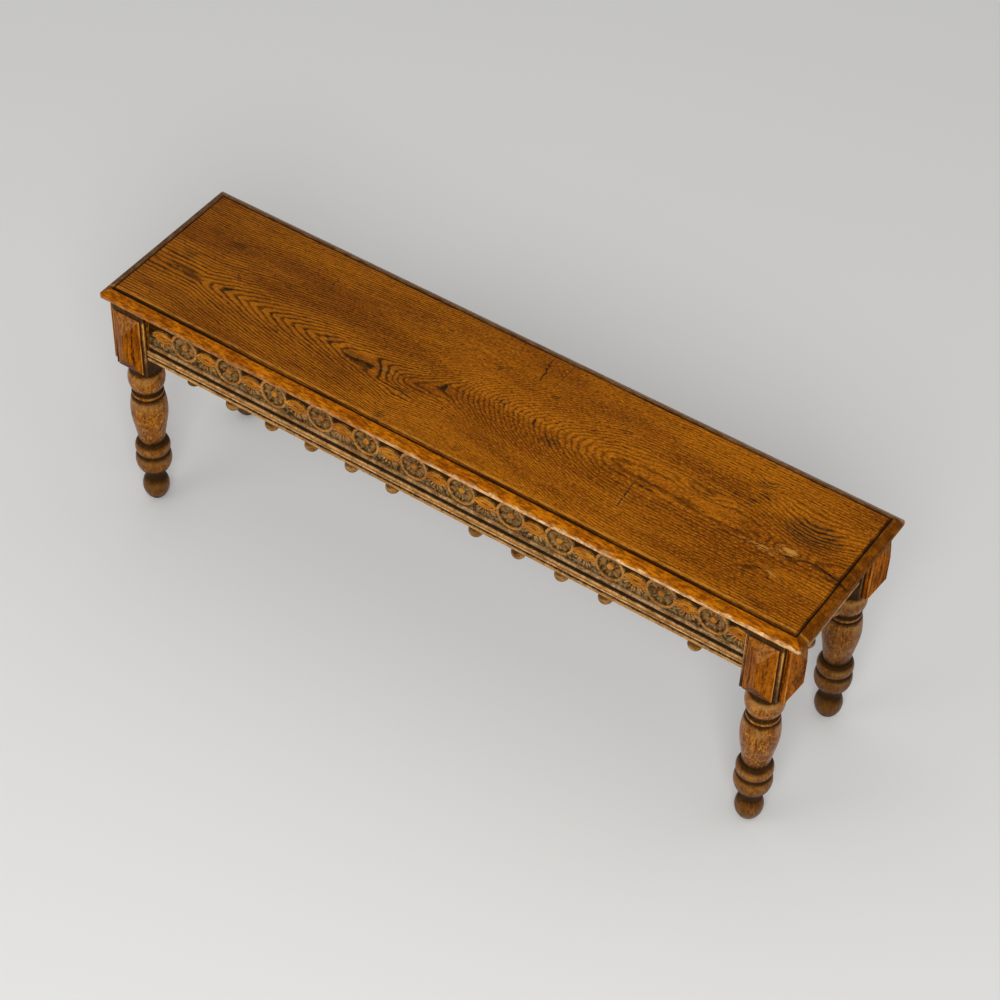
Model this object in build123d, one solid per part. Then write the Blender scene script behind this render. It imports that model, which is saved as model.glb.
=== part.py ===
import math
import os
from build123d import *

# Hall bench in oak: a moulded plank seat on a carved frame with turned legs.
# Millimetres, +Z up. The origin is on the floor under the middle of the whole bench,
# +X runs along the bench to the right and -Y is its front. The pieces are drawn about
# the middle of the seat, and are moved back to that origin when they are saved.

# Seat plank
seat_length = 1220
seat_width = 299
seat_height = 437
seat_thickness = 18
seat_corner_cut = 3
end_overhang = 23.25
side_overhang = 1.5

# Moulded border of the seat
border_width = 16
border_step = 0.8
border_bulge = 1.4
nosing_depth = 8.2
nosing_height = 7.2
nosing_bulge = 1.1
nosing_setback = 0.8
underside_setback = 3.5
groove_width = 1.8
groove_depth = 2

# Square heads of the legs
head_side = 59.5
head_height = 119

# Turned part of the legs, from the floor up
foot_height = 47
foot_radius = 21.4
foot_pad_radius = 10
neck_height = 19
neck_radius = 15.3
neck_flare = 4
lower_ring_height = 37
lower_ring_radius = 29.2
lower_ring_base_radius = 22.4
ring_groove_height = 1.6
ring_groove_radius = 25.4
upper_ring_height = 22.5
upper_ring_radius = 28.2
lip_height = 3
lip_radius = 23.4
vase_waist_radius = 20.8
vase_radius = 29.6
vase_shoulder_radius = 25.8

# Turned part of the legs, from the square head down
collar_height = 15
collar_radius = 24.4
torus_height = 41
torus_radius = 29.6
torus_base_radius = 23.6
quirk_height = 5
quirk_radius = 22.6
bead_height = 9
bead_radius = 25.6
bead_side_radius = 23.8

# Where the round stretches of the turning are widest, as shares of their heights
foot_widest_share = 0.47
lower_ring_widest_share = 0.6
upper_ring_widest_share = 0.36
vase_widest_share = 0.7

# Where the vase turns from hollow to round, as shares of its height and swell
vase_turn_share = 0.4
vase_turn_swell_share = 0.72

# Flats of the turned pieces, round the axis and along each round stretch
leg_sides = 17
leg_round_steps = 3
drop_sides = 8
drop_round_steps = 4
ring_sides = 20
dish_sides = 14
dish_round_steps = 2
screw_sides = 6

# Rails, tenoned into the square heads
rail_thickness = 20
rail_recess = 9
head_below_strip = 34.5
strip_height = 17.5
tenon_thickness = 9
tenon_web = 6
tenon_shoulder = 8
mortise_clearance = 0.5

# Carving of the rails: rings joined by pointed links, with sunk ground between them
front_ring_count = 12
front_ring_left_margin = 70.9
front_ring_right_margin = 56.3
end_ring_count = 2
ring_radius = 25
ring_band = 5
ring_top_margin = 4
ring_foot_overlap = 1.5
upper_ground_depth = 4.5
lower_ground_depth = 3
dish_depth = 6
dish_bulge = 2.2
boss_radius = 5.2
boss_height = 4.5
boss_bulge = 1.6
link_height = 21
link_overlap = 2.6
slit_height = 4
slit_depth = 2.5
slit_end_margin = 9
rail_quirk_height = 2
rail_quirk_depth = 3

# Reeded strips under the carved rails
strip_projection = 5
strip_edge_height = 2.6
strip_quirk_height = 1.2
strip_reed_radius = 2.6
strip_band_lean = 1.6

# Faceted blocks on the outer faces of the square heads
facet_side_margin = 6.2
facet_bottom_margin = 2
facet_top_margin = 8
facet_rise = 14
facet_lower_hip = 33.5
facet_upper_hip = 30
front_facet_edge = 2.5
end_facet_edge = 9

# Turned drops pinned under the strips; the front row has lost two and broken one
drop_row_margin = 81.45
front_drop_count = 13
lost_front_drops = (6, 11)
broken_front_drops = (0,)
end_drop_count = 2
drop_radius = 11.5
drop_collar_radius = 8.5
drop_collar_height = 2.6
drop_neck_radius = 6
drop_depth = 25.2
broken_drop_depth = 10
drop_pin_radius = 3
drop_pin_height = 9
drop_pin_clearance = 0.15
drop_hole_end_gap = 1

# Glue blocks and screws that hold the seat
glue_block_side = 24
glue_block_chamfer = 9
glue_block_length = 80
long_rail_block_count = 3
long_rail_reach_share = 0.72
screw_radius = 2.2
screw_head_radius = 4.3
screw_head_height = 2.6
screw_head_sink = 1
screw_bite = 11
screw_point_height = 4
screw_clearance = 0.2

# How far a cutting solid runs past the face that it opens
cut_overrun = 5

# Places worked out from the sizes above
half_length = seat_length / 2
half_width = seat_width / 2
leg_height = seat_height - seat_thickness
leg_x = half_length - end_overhang - head_side / 2
leg_y = half_width - side_overhang - head_side / 2
end_face = leg_x + head_side / 2
front_face = leg_y + head_side / 2
front_span = 2 * leg_x - head_side
end_span = 2 * leg_y - head_side
head_bottom = leg_height - head_height
strip_bottom = head_bottom + head_below_strip
rail_bottom = strip_bottom + strip_height
tenon_bottom = rail_bottom + tenon_shoulder
tenon_height = leg_height - tenon_shoulder - tenon_bottom
tenon_length = head_side - rail_recess - (rail_thickness + tenon_thickness) / 2 - tenon_web
drop_pitch = (front_span - 2 * drop_row_margin) / (front_drop_count - 1)
drop_neck_depth = drop_depth - drop_radius - math.sqrt(drop_radius**2 - drop_neck_radius**2)
ring_centre_z = leg_height - ring_top_margin - ring_radius
screw_bottom = leg_height - glue_block_side + screw_head_sink
centre_shift = (front_face + front_facet_edge + facet_rise - half_width) / 2


def slab(width, depth, height, centre_x, centre_y, bottom):
    """A rectangular solid given by its middle in plan and its underside."""
    solid = Box(width, depth, height, align=(Align.CENTER, Align.CENTER, Align.MIN))
    return Pos(centre_x, centre_y, bottom) * solid


def turned(outline, sides, round_steps):
    """A turned solid with flat sides. Its outline runs upwards, as radius and height."""
    points = [outline[0] @ 0]
    for edge in outline:
        steps = 1 if edge.geom_type == GeomType.LINE else round_steps
        points += [edge @ (step / steps) for step in range(1, steps + 1)]

    rings = []
    for point in points:
        ring = [Vector(point.X, 0, point.Y).rotate(Axis.Z, 360 * side / sides) for side in range(sides)]
        rings.append(ring if point.X > 0 else [Vector(0, 0, point.Y)])

    outlines = [ring for ring in (rings[0], rings[-1]) if len(ring) > 1]
    for lower, upper in zip(rings, rings[1:]):
        for side in range(sides):
            corners = [lower[0]]
            if len(lower) > 1:
                corners = [lower[side], lower[(side + 1) % sides]]
            if len(upper) > 1:
                corners += [upper[(side + 1) % sides], upper[side]]
            else:
                corners.append(upper[0])
            outlines.append(corners)
    return Solid(Shell([Face(Wire.make_polygon(corners)) for corners in outlines]))


def sunk(face, depth):
    """A cut of the given depth into a rail, whose outer face is the XZ plane."""
    return extrude(Plane.XZ.offset(cut_overrun) * face, amount=-cut_overrun - depth)


def place_front(shape):
    """From the frame of a rail, with its outer face in the XZ plane, to the front."""
    return Pos(0, rail_recess - front_face, 0) * shape


def place_back(shape):
    return Rot(0, 0, 180) * place_front(shape)


def place_right(shape):
    return Pos(end_face - rail_recess, 0, 0) * (Rot(0, 0, 90) * shape)


def place_left(shape):
    return Rot(0, 0, 180) * place_right(shape)


def glue_block_offsets():
    reach = long_rail_reach_share * front_span / 2
    last = long_rail_block_count - 1
    return [reach * (2 * place / last - 1) for place in range(long_rail_block_count)]


def at_glue_blocks(shape):
    """Copies of a shape that stands on the axis of a screw, one for each glue block."""
    screw_line = rail_thickness + glue_block_side / 2
    row = [Pos(x, screw_line, 0) * shape for x in glue_block_offsets()]
    middle = Pos(0, screw_line, 0) * shape
    return (
        [place_front(copy) for copy in row]
        + [place_back(copy) for copy in row]
        + [place_right(middle), place_left(middle)]
    )


def screw_outline(grow):
    """Outline of a countersunk screw, grown all round by a clearance for its hole."""
    shank_bottom = screw_bottom + screw_head_height
    shank_top = leg_height + screw_bite - screw_point_height
    return [
        Line((screw_head_radius + grow, screw_bottom), (screw_radius + grow, shank_bottom)),
        Line((screw_radius + grow, shank_bottom), (screw_radius + grow, shank_top)),
        Line((screw_radius + grow, shank_top), (0, leg_height + screw_bite + grow)),
    ]


def screw_hole():
    head_radius = screw_head_radius + screw_clearance
    recess = Line((head_radius, screw_bottom - screw_head_sink - cut_overrun), (head_radius, screw_bottom))
    return turned([recess] + screw_outline(screw_clearance), screw_sides, 1)


def seat_section(half_span):
    """Section of the seat plank, moulded alike at both ends."""
    top = seat_height
    field = half_span - border_width
    under = half_span - underside_setback
    edges = [
        Line((-field, top), (field, top)),
        Line((-under, leg_height), (under, leg_height)),
    ]
    for side in (-1, 1):
        border = (side * field, top - border_step)
        nose = (side * half_span, top - nosing_depth)
        arris = (side * (half_span - nosing_setback), top - nosing_depth - nosing_height)
        edges += [
            Line((side * field, top), border),
            SagittaArc(border, nose, side * border_bulge),
            SagittaArc(nose, arris, side * nosing_bulge),
            Line(arris, (side * under, leg_height)),
        ]
    return make_face(edges)


def groove_frame():
    """The scratched groove that bounds the flat field of the seat."""
    field = Rectangle(seat_length - 2 * border_width, seat_width - 2 * border_width)
    frame = offset(field, amount=groove_width, kind=Kind.INTERSECTION) - field
    return extrude(Pos(0, 0, seat_height - groove_depth) * frame, amount=groove_depth + cut_overrun)


def seat_top():
    along = extrude(Plane.YZ * seat_section(half_width), amount=half_length, both=True)
    across = extrude(Plane.XZ * seat_section(half_length), amount=half_width, both=True)
    around = Rectangle(seat_length + 2 * cut_overrun, seat_width + 2 * cut_overrun)
    plan = chamfer(around.vertices(), seat_corner_cut + 2 * cut_overrun)
    plank = along & across & extrude(Pos(0, 0, leg_height) * plan, amount=seat_thickness)
    plank -= groove_frame()
    for hole in at_glue_blocks(screw_hole()):
        plank -= hole
    return plank


def leg_outline():
    """Outline of the turned leg, from the pad of its foot to the square head."""
    neck_top = foot_height + neck_height
    groove_bottom = neck_top + lower_ring_height
    groove_top = groove_bottom + ring_groove_height
    lip_bottom = groove_top + upper_ring_height
    vase_bottom = lip_bottom + lip_height
    torus_top = head_bottom - collar_height
    torus_bottom = torus_top - torus_height
    bead_top = torus_bottom - quirk_height
    vase_top = bead_top - bead_height
    vase_height = vase_top - vase_bottom
    turn_radius = vase_waist_radius + (vase_radius - vase_waist_radius) * vase_turn_swell_share

    foot_widest = (foot_radius, foot_height * foot_widest_share)
    lower_ring_widest = (lower_ring_radius, neck_top + lower_ring_height * lower_ring_widest_share)
    upper_ring_widest = (upper_ring_radius, groove_top + upper_ring_height * upper_ring_widest_share)
    vase_turn = (turn_radius, vase_bottom + vase_height * vase_turn_share)
    vase_widest = (vase_radius, vase_bottom + vase_height * vase_widest_share)
    bead_widest = (bead_radius, vase_top + bead_height / 2)
    torus_widest = (torus_radius, torus_bottom + torus_height / 2)

    foot = ThreePointArc((foot_pad_radius, 0), foot_widest, (neck_radius, foot_height))
    neck = TangentArc(foot @ 1, (neck_radius + neck_flare, neck_top), tangent=(0, 1))
    ring_base = Line(neck @ 1, (lower_ring_base_radius, neck_top))
    lower_ring = ThreePointArc(ring_base @ 1, lower_ring_widest, (ring_groove_radius, groove_bottom))
    groove = Line(lower_ring @ 1, (ring_groove_radius, groove_top))
    upper_ring = ThreePointArc(groove @ 1, upper_ring_widest, (lip_radius, lip_bottom))
    lip = Line(upper_ring @ 1, (lip_radius, vase_bottom))
    lip_top = Line(lip @ 1, (vase_waist_radius, vase_bottom))
    belly = ThreePointArc(vase_turn, vase_widest, (vase_shoulder_radius, vase_top))
    waist = TangentArc(vase_turn, lip_top @ 1, tangent=(belly % 0) * -1)
    waist_upwards = ThreePointArc(waist @ 1, waist @ 0.5, waist @ 0)
    bead_bottom = Line(belly @ 1, (bead_side_radius, vase_top))
    bead = ThreePointArc(bead_bottom @ 1, bead_widest, (bead_side_radius, bead_top))
    quirk_bottom = Line(bead @ 1, (quirk_radius, bead_top))
    quirk = Line(quirk_bottom @ 1, (quirk_radius, torus_bottom))
    torus_base = Line(quirk @ 1, (torus_base_radius, torus_bottom))
    torus = ThreePointArc(torus_base @ 1, torus_widest, (collar_radius, torus_top))
    collar = Line(torus @ 1, (collar_radius, head_bottom))
    return [
        foot, neck, ring_base, lower_ring, groove, upper_ring, lip, lip_top, waist_upwards,
        belly, bead_bottom, bead, quirk_bottom, quirk, torus_base, torus, collar,
    ]


def leg():
    """The front right leg, with the mortises of the front rail and the right rail."""
    turning = turned(leg_outline(), leg_sides, leg_round_steps)
    head = slab(head_side, head_side, head_height, 0, 0, head_bottom)
    blank = Pos(leg_x, -leg_y, 0) * (head + turning)
    rail_middle = rail_recess + rail_thickness / 2
    depth = tenon_length + mortise_clearance
    reach = depth + cut_overrun
    front_x = leg_x - head_side / 2 + depth - reach / 2
    front_y = rail_middle - front_face
    end_x = end_face - rail_middle
    end_y = head_side / 2 - leg_y - depth + reach / 2
    front_mortise = slab(reach, tenon_thickness, tenon_height, front_x, front_y, tenon_bottom)
    end_mortise = slab(tenon_thickness, reach, tenon_height, end_x, end_y, tenon_bottom)
    return blank - front_mortise - end_mortise


def plain_rail(span, bottom):
    """Rail with both tenons, its outer face in the XZ plane."""
    middle = rail_thickness / 2
    board = slab(span, rail_thickness, leg_height - bottom, 0, middle, bottom)
    return board + slab(span + 2 * tenon_length, tenon_thickness, tenon_height, 0, middle, tenon_bottom)


def pointed_oval(length, height):
    ends = ((-length / 2, 0), (length / 2, 0))
    return make_face([SagittaArc(*ends, height / 2), SagittaArc(*ends, -height / 2)])


def ring_dish():
    """The hollow of a ring with its boss left standing, as a cut into the XZ plane."""
    rim = ring_radius - ring_band
    boss = SagittaArc((0, boss_height - dish_depth), (boss_radius, -dish_depth), boss_bulge)
    dish = SagittaArc(boss @ 1, (rim, 0), -dish_bulge)
    wall = Line(dish @ 1, (rim, cut_overrun))
    return Rot(90, 0, 0) * turned([boss, dish, wall], dish_sides, dish_round_steps)


def carved_rail(span, ring_count, left_margin, right_margin):
    """Rail carved with rings joined by pointed links, with a margin outside the end rings."""
    pitch = (span - left_margin - right_margin) / (ring_count - 1)
    first_ring = left_margin - span / 2
    ring_offsets = [first_ring + place * pitch for place in range(ring_count)]
    link_offsets = [first_ring + (place - 0.5) * pitch for place in range(ring_count + 1)]
    link_length = pitch - 2 * ring_radius + 2 * link_overlap

    ring = RegularPolygon(ring_radius, ring_sides)
    raised = Sketch() + [Pos(x, ring_centre_z) * ring for x in ring_offsets]
    raised += [Pos(x, ring_centre_z) * pointed_oval(link_length, link_height) for x in link_offsets]
    field_width = span + 2 * cut_overrun
    upper_height = leg_height + cut_overrun - ring_centre_z
    lower_height = ring_radius - ring_foot_overlap
    upper_field = Pos(0, ring_centre_z + upper_height / 2) * Rectangle(field_width, upper_height)
    lower_field = Pos(0, ring_centre_z - lower_height / 2) * Rectangle(field_width, lower_height)

    rail = plain_rail(span, rail_bottom)
    rail -= sunk(upper_field - raised, upper_ground_depth)
    rail -= sunk(lower_field - raised, lower_ground_depth)
    slit = pointed_oval(link_length - 2 * slit_end_margin, slit_height)
    for x in link_offsets:
        rail -= sunk(Pos(x, ring_centre_z) * slit, slit_depth)
    dish = ring_dish()
    for x in ring_offsets:
        rail -= Pos(x, 0, ring_centre_z) * dish
    quirk = Pos(0, rail_bottom + rail_quirk_height / 2) * Rectangle(span, rail_quirk_height)
    return rail - sunk(quirk, rail_quirk_depth)


def strip_section():
    """Section of a reeded strip, as depth behind the rail's face and height."""
    front = -strip_projection
    quirk = front + strip_reed_radius
    edge_top = strip_bottom + strip_edge_height
    reed_bottom = edge_top + strip_quirk_height
    reed_top = reed_bottom + 2 * strip_reed_radius
    band_bottom = reed_top + strip_quirk_height
    reed_front = (front, (reed_bottom + reed_top) / 2)
    return make_face([
        Polyline((front, strip_bottom), (front, edge_top), (quirk, edge_top), (quirk, reed_bottom)),
        ThreePointArc((quirk, reed_bottom), reed_front, (quirk, reed_top)),
        Polyline((quirk, reed_top), (quirk, band_bottom), (front, band_bottom)),
        Line((front, band_bottom), (front + strip_band_lean, rail_bottom)),
        Polyline(
            (front + strip_band_lean, rail_bottom),
            (rail_thickness, rail_bottom),
            (rail_thickness, strip_bottom),
            (front, strip_bottom),
        ),
    ])


def drop_offsets(count):
    return [(place - (count - 1) / 2) * drop_pitch for place in range(count)]


def at_drop(x, shape):
    """Moves a shape on the axis of a drop to its place under a strip."""
    return Pos(x, drop_radius - strip_projection, strip_bottom) * shape


def reeded_strip(span, drop_count):
    strip = extrude(Plane.YZ * strip_section(), amount=span / 2, both=True)
    hole_radius = drop_pin_radius + drop_pin_clearance
    wall = Line((hole_radius, -cut_overrun), (hole_radius, drop_pin_height + drop_hole_end_gap))
    hole = turned([wall], drop_sides, 1)
    for x in drop_offsets(drop_count):
        strip -= at_drop(x, hole)
    return strip


def ball_radius(depth):
    """Radius of a drop's ball at a depth under the plane z = 0."""
    return math.sqrt(drop_radius**2 - (drop_depth - drop_radius - depth) ** 2)


def drop_top(ball_top):
    """Outline of a drop above its ball: neck, collar under the plane z = 0 and pin."""
    neck = Line(ball_top, (drop_collar_radius, -drop_collar_height))
    collar = Line(neck @ 1, (drop_collar_radius, 0))
    seat = Line(collar @ 1, (drop_pin_radius, 0))
    return [neck, collar, seat, Line(seat @ 1, (drop_pin_radius, drop_pin_height))]


def turned_drop():
    """Ball on a neck, with a collar under the plane z = 0 and a pin above it."""
    ball_middle = (drop_radius, drop_radius - drop_depth)
    ball = ThreePointArc((0, -drop_depth), ball_middle, (drop_neck_radius, -drop_neck_depth))
    return turned([ball] + drop_top(ball @ 1), drop_sides, drop_round_steps)


def broken_drop():
    """What is left of a drop that broke off flat above the middle of its ball."""
    middle_depth = (drop_neck_depth + broken_drop_depth) / 2
    ball_edge = (ball_radius(broken_drop_depth), -broken_drop_depth)
    ball_middle = (ball_radius(middle_depth), -middle_depth)
    ball = ThreePointArc(ball_edge, ball_middle, (drop_neck_radius, -drop_neck_depth))
    return turned([ball] + drop_top(ball @ 1), drop_sides, drop_round_steps)


def front_drops():
    row = []
    for place, x in enumerate(drop_offsets(front_drop_count)):
        if place not in lost_front_drops:
            row.append(at_drop(x, broken_drop() if place in broken_front_drops else turned_drop()))
    return Compound(row)


def end_drops():
    return Compound([at_drop(x, turned_drop()) for x in drop_offsets(end_drop_count)])


def facet_block(edge):
    """Faceted block with an upright ridge and hipped ends, its back in the XZ plane."""
    half_side = head_side / 2 - facet_side_margin
    bottom = head_bottom + facet_bottom_margin
    top = leg_height - facet_top_margin
    ridge = -edge - facet_rise
    plan = Polyline(
        (half_side, 0),
        (half_side, -edge),
        (0, ridge),
        (-half_side, -edge),
        (-half_side, 0),
        close=True,
    )
    side = Polyline(
        (0, bottom),
        (-edge, bottom),
        (ridge, bottom + facet_lower_hip),
        (ridge, top - facet_upper_hip),
        (-edge, top),
        (0, top),
        close=True,
    )
    upright = extrude(Pos(0, 0, bottom) * make_face(plan), amount=top - bottom)
    return upright & extrude(Plane.YZ * make_face(side), amount=half_side, both=True)


def glue_block():
    """Chamfered block in the angle of a rail and the seat, bored on the axis x = y = 0."""
    half_side = glue_block_side / 2
    bottom = leg_height - glue_block_side
    section = Polyline(
        (-half_side, leg_height),
        (-half_side, bottom),
        (half_side - glue_block_chamfer, bottom),
        (half_side, bottom + glue_block_chamfer),
        (half_side, leg_height),
        close=True,
    )
    block = extrude(Plane.YZ * make_face(section), amount=glue_block_length / 2, both=True)
    return block - screw_hole()


def save(name, shape):
    export_step(Pos(0, centre_shift, 0) * shape, f"parts/{name}.step")


os.makedirs("parts", exist_ok=True)

save("seat_top", seat_top())

front_right_leg = leg()
save("leg_front_right", front_right_leg)
save("leg_front_left", mirror(front_right_leg, about=Plane.YZ))
save("leg_back_right", mirror(front_right_leg, about=Plane.XZ))
save("leg_back_left", Rot(0, 0, 180) * front_right_leg)

front_margins = (front_ring_left_margin, front_ring_right_margin)
end_margins = (end_span / end_ring_count / 2, end_span / end_ring_count / 2)

save("rail_front", place_front(carved_rail(front_span, front_ring_count, *front_margins)))
save("rail_back", place_back(plain_rail(front_span, strip_bottom)))
end_rail = carved_rail(end_span, end_ring_count, *end_margins)
save("rail_right", place_right(end_rail))
save("rail_left", place_left(end_rail))

save("strip_front", place_front(reeded_strip(front_span, front_drop_count)))
end_strip = reeded_strip(end_span, end_drop_count)
save("strip_right", place_right(end_strip))
save("strip_left", place_left(end_strip))

save("drops_front", place_front(front_drops()))
save("drops_right", place_right(end_drops()))
save("drops_left", place_left(end_drops()))

front_facet = facet_block(front_facet_edge)
end_facet = facet_block(end_facet_edge)
for name, side in (("left", -1), ("right", 1)):
    save(f"facet_front_{name}", Pos(side * leg_x, -front_face, 0) * front_facet)
    turned_end = Pos(side * end_face, 0, 0) * (Rot(0, 0, side * 90) * end_facet)
    save(f"facet_end_front_{name}", Pos(0, -leg_y, 0) * turned_end)
    save(f"facet_end_back_{name}", Pos(0, leg_y, 0) * turned_end)

blocks = at_glue_blocks(glue_block())
save("glue_blocks_front", Compound(blocks[:long_rail_block_count]))
save("glue_blocks_back", Compound(blocks[long_rail_block_count:-2]))
save("glue_block_right", blocks[-2])
save("glue_block_left", blocks[-1])
save("seat_screws", Compound(at_glue_blocks(turned(screw_outline(0), screw_sides, 1))))
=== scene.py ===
import bpy
import random
from math import atan2, cos, hypot, pi, radians, sin, sqrt, tau
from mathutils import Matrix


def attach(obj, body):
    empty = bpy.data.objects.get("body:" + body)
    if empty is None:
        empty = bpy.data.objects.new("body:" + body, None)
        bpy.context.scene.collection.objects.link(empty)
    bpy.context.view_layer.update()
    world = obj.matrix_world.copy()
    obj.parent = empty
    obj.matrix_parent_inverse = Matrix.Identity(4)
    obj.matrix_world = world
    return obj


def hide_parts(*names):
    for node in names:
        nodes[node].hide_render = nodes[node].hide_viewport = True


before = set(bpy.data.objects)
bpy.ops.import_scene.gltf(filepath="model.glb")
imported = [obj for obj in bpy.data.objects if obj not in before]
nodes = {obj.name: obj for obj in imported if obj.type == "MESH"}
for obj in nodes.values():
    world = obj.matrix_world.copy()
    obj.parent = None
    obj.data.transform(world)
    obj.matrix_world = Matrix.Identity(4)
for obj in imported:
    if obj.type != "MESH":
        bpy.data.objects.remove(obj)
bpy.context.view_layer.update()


def metres(sizes):  # from millimetres
    return [size / 1000 for size in sizes]


def off(base, sizes):
    return [base + size for size in metres(sizes)]


# Camera and lamps

view = dict(place=(1.5215, -2.327, 3.1282), turn=(43.813, -1.619, 34.294), lens=95.8, farthest=100)

light = dict(
    skyGrey=0.62, aim=(0, 0, 0.3), keyPlace=(1.9, -3.1, 3.2), keySize=1.9, keyPower=120,
    fillPlace=(-1.8, -2.8, 1.8), fillSize=1.8, fillPower=16
)


def turnTowards(place, aim):
    across, along, up = (a - p for a, p in zip(aim, place))
    return (atan2(hypot(across, along), -up), 0, atan2(-across, along))


bpy.ops.object.camera_add(location=view["place"], rotation=[radians(a) for a in view["turn"]])
camera = bpy.context.object
camera.data.lens = view["lens"]
camera.data.clip_end = view["farthest"]
bpy.context.scene.camera = camera
bpy.context.scene.view_settings.view_transform = "Standard"

for lampName in ("key", "fill"):
    place = light[lampName + "Place"]
    bpy.ops.object.light_add(type="AREA", location=place, rotation=turnTowards(place, light["aim"]))
    lamp = bpy.context.object
    lamp.name = lampName + "Lamp"
    lamp.data.size = light[lampName + "Size"]
    lamp.data.energy = light[lampName + "Power"]
print("camera and lamps set")


# Helpers for materials: nodes go into the newest one

def newMaterial(name):
    global tree
    material = bpy.data.materials.new(name)
    material.use_nodes = True
    tree = material.node_tree
    tree.nodes.clear()
    return material


def node(kind, inputs=(), out=0, **settings):  # a socket is linked, any other value is set
    made = tree.nodes.new("ShaderNode" + kind)
    for key, value in settings.items():
        setattr(made, key, value)
    for key, value in dict(inputs).items():
        if isinstance(value, bpy.types.NodeSocket):
            tree.links.new(value, made.inputs[key])
        else:
            made.inputs[key].default_value = value
    return made.outputs[out] if made.outputs else None


def calc(kind, *values):
    return node("Math", enumerate(values), operation=kind)


def plus(first, second):
    return calc("ADD", first, second)


def minus(first, second):
    return calc("SUBTRACT", first, second)


def times(first, *others):
    for other in others:
        first = calc("MULTIPLY", first, other)
    return first


def highest(first, *others):
    for other in others:
        first = calc("MAXIMUM", first, other)
    return first


def unsigned(value):
    return calc("ABSOLUTE", value)


def fade(value, low, high, start=0.0, end=1.0, kind="SMOOTHSTEP"):
    return node("MapRange", {0: value, 1: low, 2: high, 3: start, 4: end}, interpolation_type=kind)


def band(value, rise, full, fall, gone):  # 1 between two places, with soft sides
    return times(fade(value, rise, full), fade(value, fall, gone, 1, 0))


def tone(colour):  # from red, green and blue as seen on the screen, 0 to 255
    if isinstance(colour, bpy.types.NodeSocket):
        return colour
    linear = (c / 3294.6 if c <= 10 else ((c / 255 + 0.055) / 1.055) ** 2.4 for c in colour)
    return (*linear, 1)


def mixed(amount, first, second):
    return node("Mix", {0: amount, 6: tone(first), 7: tone(second)}, out=2, data_type="RGBA")


def surface(inputs):
    node("OutputMaterial", {0: node("BsdfPrincipled", inputs)})


def vector(kind, first, second=(0, 0, 0), out=0):
    return node("VectorMath", {0: first, 1: second}, out=out, operation=kind)


def noise(point, scale, detail=2, rough=0.5, out=0):
    place = node("Mapping", {0: point, 3: scale})
    return node("TexNoise", {"Vector": place, "Scale": 1, "Detail": detail, "Roughness": rough}, out=out)


def hill(point, x, y, along, across):  # 1 at a place in mm, falling to 0 at its reach
    near = vector("SUBTRACT", point, (x / 1000, y / 1000, 0))
    near = vector("MULTIPLY", near, (1000 / along, 1000 / across, 1))
    return fade(vector("LENGTH", near, out=1), 0, 1, 1, 0)


def ragged(value, cloud, amount):  # a value moved by a noise, both ways
    return plus(value, times(minus(cloud, 0.5), amount))


def waved(value, point, scale, amount):
    return ragged(value, noise(point, scale, 3, 0.6), amount)


def objectPoint(shift=(0, 0, 0), turn=0):
    return node("Mapping", {0: node("TexCoord", out=3), 1: shift, 2: (0, 0, radians(turn))})


def splitPoint(point):
    return node("SeparateXYZ", {0: point}).node.outputs[:]


def painted(name):  # a value that was painted on the mesh
    return node("Attribute", out=2, attribute_name=name)


# Oak: growth rings round a pith along the first axis of the given points
# ringShape: where in a year the dark early wood starts, is full, fades and ends

oak = dict(
    ringShape=(0, 0.16, 0.24, 0.62), fibreSpan=(0.36, 0.56), fibreTone=(0.38, 0.66), poreSpan=(0.52, 0.62),
    patchSpan=(0.38, 0.62), fibreHeight=0.4, ringHeight=0.5, bumpDepth=0.0006
)


def oakGrain(point, look, distance=None):
    if distance is None:
        x, y, z = splitPoint(point)
        deep = plus(z, look["pithDepth"])
        distance = calc("SQRT", plus(calc("POWER", y, 2), calc("POWER", deep, 2)))
    distance = waved(distance, point, look["waveScale"], look["wave"])
    distance = waved(distance, point, look["jagScale"], look["jag"])
    turns = calc("DIVIDE", distance, look["ringWidth"])
    early = band(calc("FRACT", turns), *oak["ringShape"])
    year = node("TexWhiteNoise", {"W": calc("FLOOR", turns)}, noise_dimensions="1D")
    fibre = noise(point, look["fibreScale"], 3, 0.65)
    early = times(early, fade(year, 0, 1, look["faintYear"], 1),
                  fade(fibre, *oak["fibreSpan"], look["faintFibre"], 1))
    pores = fade(noise(point, look["poreScale"], 2, 0.6), *oak["poreSpan"])
    pores = times(pores, fade(early, 0, 0.5, look["latePores"], 1))
    patch = fade(noise(point, look["patchScale"], 4, 0.65), *oak["patchSpan"])
    ground = mixed(patch, look["light"], look["warm"])
    ground = mixed(fade(fibre, *oak["fibreTone"], 0, look["fibreDepth"]), ground, look["deep"])
    colour = mixed(times(early, look["ringDepth"]), ground, look["deep"])
    colour = mixed(times(pores, look["poreDepth"]), colour, look["pore"])
    height = minus(times(fibre, oak["fibreHeight"]), plus(pores, times(early, oak["ringHeight"])))
    return {"colour": colour, "height": height, "pores": pores, "early": early}


def woodShader(material, colour, height, rough, look):
    normal = node("Bump", {"Height": height, "Strength": look["bump"], "Distance": oak["bumpDepth"]})
    surface({"Base Color": colour, "Roughness": rough, "Normal": normal, "Specular IOR Level": look["gloss"],
             "Specular Tint": look["amber"]})
    return material


# Floor and sky

floorLook = dict(size=60, colour=(0.69, 0.685, 0.67, 1), rough=0.9, gloss=0.1, sky=(1, 1, 1, 1))

bpy.ops.mesh.primitive_plane_add(size=floorLook["size"], location=(0, 0, 0))
floor = bpy.context.object
floor.name = "floor"
floor.data.materials.append(newMaterial("paleFloor"))
surface({"Base Color": floorLook["colour"], "Roughness": floorLook["rough"],
         "Specular IOR Level": floorLook["gloss"]})

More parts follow.
